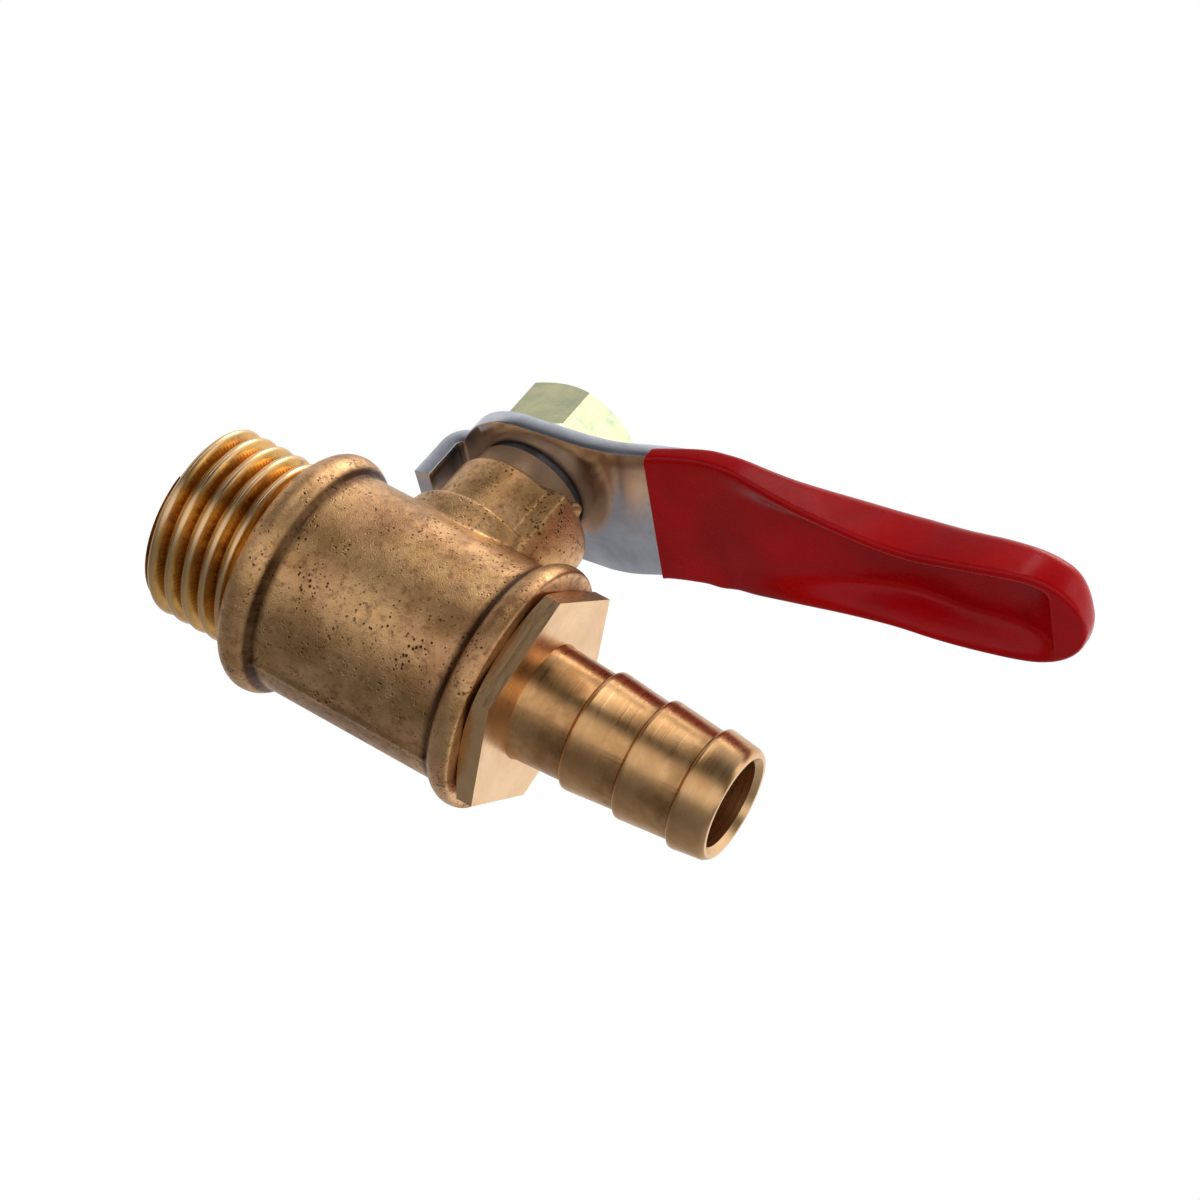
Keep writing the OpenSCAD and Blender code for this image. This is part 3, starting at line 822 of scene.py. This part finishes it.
def makeLever():
    under, thick, edge = lever["under"], lever["thick"], lever["edge"]
    rings = []
    for k in range(29):  # the round end about the stem
        a = radians(-90 + 90 * k / 28)
        half = max(lever["half"] * cos(a), 0.02)
        rings.append(sheetRing(lever["half"] * sin(a), under, under + thick, half, edge))
    for k in range(1, 41):  # the arm, up its crank
        d = lever["reach"] * k / 40
        z = under + along(lever["rise"], d)
        half = lever["half"] - lever["waist"] * ease((d - lever["waistFrom"]) / lever["waistOver"])
        rings.append(sheetRing(d, z, z + thick, half, edge))
    plate = loft("leverPlate", rings)
    # the stop tab follows a bend from the plate down to its tip, set in a little from the plate's faces
    bend, inset, face = lever["bendR"], lever["tabInset"], -lever["tabIn"]
    start = under + inset
    path = [(face + lever["tabRoot"], start, 0), (face + bend, start, 0)]
    for a in range(10, 91, 10):
        path.append((face + bend * (1 - sin(radians(a))), start - bend * (1 - cos(radians(a))), a))
    path += [(face, lever["tabTip"] + 0.2, 90), (face, lever["tabTip"], 90)]
    tabRings = []
    for x, z, a in path:
        out = Vector((-sin(radians(a)), 0, cos(radians(a)))) * (thick - 2 * inset)
        ring = sheetRing(0, 0, 1, lever["tabHalf"], lever["tabEdge"])
        tabRings.append([Vector((x, p.y, z)) + out * p.z for p in ring])
    carve(plate, loft("stopTab", tabRings), "UNION")
    # the hole has a flat on each side for the stem
    middle = under + thick / 2
    letGo()
    bpy.ops.mesh.primitive_cylinder_add(vertices=64, radius=lever["holeR"], depth=4, location=(0, 0, middle))
    hole = bpy.context.active_object
    for side in (1, -1):
        edit(hole)
        flat = (side * lever["holeFlat"], 0, middle)
        bpy.ops.mesh.bisect(plane_co=flat, plane_no=(side, 0, 0), use_fill=True, clear_outer=True)
        done()
    carve(plate, hole)
    smooth(plate, 28)
    return plate


place(makeLever(), "handle", finishes["zinc"], ["lever"], onLever=True)
print("lever made")


# half widths, tops and undersides of the dipped coat, by distance from the stem
grip = {
    "start": 9.3, "tip": 39.2, "hollowFrom": 12.5, "hollowTo": 37.0, "wall": 1.0, "skin": 1.55, "skew": 0.3,
    "half": [(9, 5.62), (13, 5.68), (15, 5.6), (16, 5.45), (19, 4.75), (22.7, 4.05), (26, 3.64), (28, 3.6),
        (30.5, 3.75), (33.5, 3.86), (36, 3.86)],
    "top": [(9, 15.95), (9.6, 16.25), (11.4, 16.85), (13.1, 17.35), (14.3, 17.5), (17, 17.8), (19, 18.15),
        (22, 18.8), (24.5, 19.2), (27.5, 19.5), (30.5, 19.5), (33.5, 19.7), (39.2, 19.75)],
    "low": [(9, 14.55), (9.6, 14.9), (11.4, 15.45), (13.1, 15.8), (15, 15.9), (20, 15.65), (28, 15.62),
        (30.5, 15.84), (33.5, 16.25), (35, 16.5), (37, 16.85), (39.2, 17.2)],
    "nose": 4.6, "noseRound": 1.9, "nosePower": 2.3, "lowRound": 0.4, "crown": 0.06, "lip": 0.38,
    "foldFrom": 13.5, "foldOver": 9, "hollowStart": 7, "hollowEnd": 3.2, "hollowFlat": 0.72,
    "drip": 0.16, "dripAt": 13, "dripHalf": 1.3, "skewOver": 3, "fine": 0.15, "coarse": 0.3,
}


def fallAt(d, radius):
    # how far a round of this radius has fallen away near the tip
    return radius - sqrt(max(radius ** 2 - max(d - (grip["tip"] - radius), 0) ** 2, 0))


def gripRing(d):
    # the coat's section: two lips below, two round corners above, and a hollow between the lips
    tip, nose = grip["tip"], grip["nose"]
    taper = max(1 - (max(d - (tip - nose), 0) / nose) ** grip["nosePower"], 0.0004) ** 0.5
    half = along(grip["half"], min(d, tip - 4)) * taper
    low = along(grip["low"], d) + fallAt(d, grip["lowRound"])
    top = along(grip["top"], d) - fallAt(d, grip["noseRound"]) * 0.95
    fold = ease((d - grip["foldFrom"]) / grip["foldOver"])
    corner = min(0.45 + 0.55 * fold, half * 0.98, (top - low) * 0.9)
    lip = min(grip["lip"], half * 0.3, (top - low) * 0.3)
    drip = grip["drip"] * ease(1 - abs(d - grip["dripAt"]) / grip["dripHalf"])
    ring = bow(half - lip, low - drip + lip, lip, -90, 0, 6)
    ring += bow(half - corner, top - corner, corner, 0, 90, 8)
    for k in range(1, 8):  # the top, a little crowned
        u = 1 - k / 4
        ring.append(((half - corner) * u, top + grip["crown"] * (1 - u * u)))
    ring += bow(corner - half, top - corner, corner, 90, 180, 8)
    ring += bow(lip - half, low + lip, lip, 180, 270, 6)
    # the underside, with its hollow
    opening = min(1, max(0, (grip["hollowTo"] - d) / grip["hollowEnd"]))
    opening *= ease((d - grip["hollowFrom"]) / grip["hollowStart"])
    depth = max(top - grip["skin"] - low, 0) * sqrt(max(1 - (1 - opening) ** 2, 0))
    inner = max(half - grip["wall"], half * 0.3)
    edge = max(half - lip - 0.05, 0.01)
    slope = max(edge - inner * grip["hollowFlat"], 0.05)
    for k in range(1, 32):
        u = k / 16 - 1
        across = u * (half - lip)
        rise = ease((edge - abs(across)) / slope)
        ring.append((across, low + depth * rise - drip * max(u, 0) ** 4))
    lean = grip["skew"] * (1 - ease((d - grip["start"]) / grip["skewOver"]))
    return [Vector((d - lean * a / half, a, b)) for a, b in ring]


def makeGrip():
    # rings lie closer by the crank and the drip, and closer again round the tip
    start, fine, coarse = grip["start"], grip["fine"], grip["coarse"]
    stations = [start + fine * k for k in range(60)]
    stations += [start + 60 * fine + coarse * k for k in range(58)]
    last = stations[-1]
    stations += [last + (grip["tip"] - last) * sin(radians(90 * k / 24)) for k in range(1, 25)]
    piece = loft("gripCoat", [gripRing(d) for d in stations])
    smooth(piece, 45)
    return piece


place(makeGrip(), "handle", finishes["red"], ["lever_grip"], onLever=True)
print("grip made")


nut = {
    "af": 8, "low": 16.3, "high": 20.3, "turn": radians(9), "bore": 2.47, "chamfer": 0.5, "sink": 0.4,
}


def makeNut():
    low, high, bore, sink = nut["low"], nut["high"], nut["bore"], nut["sink"]
    piece = hexBlock("leverNut", nut["af"], low, high, nut["turn"], nut["chamfer"], nut["chamfer"])
    # a cone of 45 degrees opens each end of the bore
    profile = [(low - 1, 0), (low - 1, bore + sink + 1), (low + sink, bore), (high - sink, bore)]
    profile += [(high + 1, bore + sink + 1), (high + 1, 0)]
    carve(piece, turned("bore", profile, "Z", (0, 0, 0), 96))
    smooth(piece, 25)
    return piece


place(makeNut(), "handle", finishes["yellow"], ["lever_nut"], onStem=True)
print("nut made")


# these nodes keep their own shapes and get a finish
kept = {
    "ball": "chrome", "inlet_seat": "ptfe", "outlet_seat": "ptfe", "stem_thrust_washer": "ptfe",
    "stem_o_ring_lower": "rubber", "stem_o_ring_upper": "rubber", "tail_o_ring": "rubber",
    # the stem washer's dark finish is painted shade
    "stem": "tail", "stem_washer": "shadeDarkened", "spring_washer": "yellow",
}
for name, finish in kept.items():
    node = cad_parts[name]
    node.data.materials.clear()
    node.data.materials.append(finishes[finish])
print("kept nodes painted")


# The sky's brightness goes by the angle about the X axis, from +Z at 0 towards -Y.
studio = {
    "floorDrop": 0.0002, "floorSize": 1.6, "floorX": 0.02, "white": (1, 1, 1, 1), "strength": 1.0,
    "bands": [(-180, 0.15), (-135, 0.28), (-115, 0.36), (-80, 0.70), (-55, 1.0), (18, 1.0), (40, 0.50),
        (66, 0.06), (92, 0.06), (112, 0.86), (134, 0.92), (156, 0.22), (180, 0.15)],
    "sideGain": 0.3,
    "lamps": [
        ("keyLamp", (0.01, -0.06, 0.33), (0.018, 0, 0.004), (0.16, 0.16), 0.30, (1, 0.98, 0.95)),
        ("tailLamp", (-0.012, -0.150, 0.092), (0.033, 0, 0.0), (0.032, 0.13), 0.030, (1, 0.98, 0.95)),
        ("nutLamp", (0.193, -0.121, 0.148), (0.018, 0, 0.016), (0.08, 0.08), 0.02, (1, 1, 1)),
    ],
}

letGo()
floorAt = (studio["floorX"], 0, cadBox[0][2] - studio["floorDrop"])
bpy.ops.mesh.primitive_plane_add(size=studio["floorSize"], location=floorAt)
floor = bpy.context.active_object
floor.name = "studioFloor"
floorPaint = bpy.data.materials.new("paleFloor")
floorPaint.use_nodes = True
bench = Bench(floorPaint.node_tree)
paint = floorPaint.node_tree.nodes["Principled BSDF"]
paint.inputs["Base Color"].default_value = (0.9, 0.9, 0.9, 1)
paint.inputs["Roughness"].default_value = 0.6
through = bench.add("ShaderNodeBsdfTransparent")
either = bench.add("ShaderNodeMixShader")
# seen only from above, and not in a reflection
straight = bench.sums("SUBTRACT", 1.0, bench.add("ShaderNodeLightPath").outputs["Is Camera Ray"])
unseen = bench.sums("MAXIMUM", bench.add("ShaderNodeNewGeometry").outputs["Backfacing"], straight)
bench.wire(unseen, either.inputs[0])
bench.wire(paint.outputs[0], either.inputs[1])
bench.wire(through.outputs[0], either.inputs[2])
bench.wire(either.outputs[0], floorPaint.node_tree.nodes["Material Output"].inputs[0])
floor.data.materials.append(floorPaint)

world = bpy.data.worlds.new("studioSky")
bpy.context.scene.world = world
world.use_nodes = True
bench = Bench(world.node_tree)
sky = world.node_tree.nodes["Background"]
direction = bench.add("ShaderNodeTexCoord").outputs["Generated"]
parts = bench.add("ShaderNodeSeparateXYZ")
bench.wire(direction, parts.inputs[0])
angle = bench.sums("ARCTAN2", bench.sums("MULTIPLY", parts.outputs[1], -1.0), parts.outputs[2])
band = bench.add("ShaderNodeValToRGB")
bench.wire(bench.span(angle, -pi, pi), band.inputs[0])
ramp = band.color_ramp
ramp.interpolation = "EASE"
while len(ramp.elements) < len(studio["bands"]):
    ramp.elements.new(0.5)
for k, (where, level) in enumerate(studio["bands"]):  # all the places first, because the ramp sorts them
    ramp.elements[k].position = (where + 180) / 360
for k, (where, level) in enumerate(studio["bands"]):
    ramp.elements[k].color = (level, level, level, 1)
lean = bench.sums("ADD", bench.sums("MULTIPLY", parts.outputs[0], studio["sideGain"]), studio["strength"])
bench.wire(bench.sums("MULTIPLY", band.outputs[0], lean), sky.inputs["Strength"])
sky.inputs["Color"].default_value = studio["white"]
# the camera sees plain white behind the valve
plain = bench.add("ShaderNodeBackground")
plain.inputs["Color"].default_value = studio["white"]
choose = bench.add("ShaderNodeMixShader")
bench.wire(bench.add("ShaderNodeLightPath").outputs["Is Camera Ray"], choose.inputs[0])
bench.wire(sky.outputs[0], choose.inputs[1])
bench.wire(plain.outputs[0], choose.inputs[2])
bench.wire(choose.outputs[0], world.node_tree.nodes["World Output"].inputs[0])

for name, spot, aim, size, power, colour in studio["lamps"]:
    letGo()
    bpy.ops.object.light_add(type="AREA", location=spot)
    lamp = bpy.context.active_object
    lamp.name = name
    lamp.data.shape = "RECTANGLE"
    lamp.data.size, lamp.data.size_y = size
    lamp.data.energy = power
    lamp.data.color = colour
    lamp.rotation_euler = (Vector(aim) - Vector(spot)).to_track_quat("-Z", "Y").to_euler()
print("studio set")

letGo()
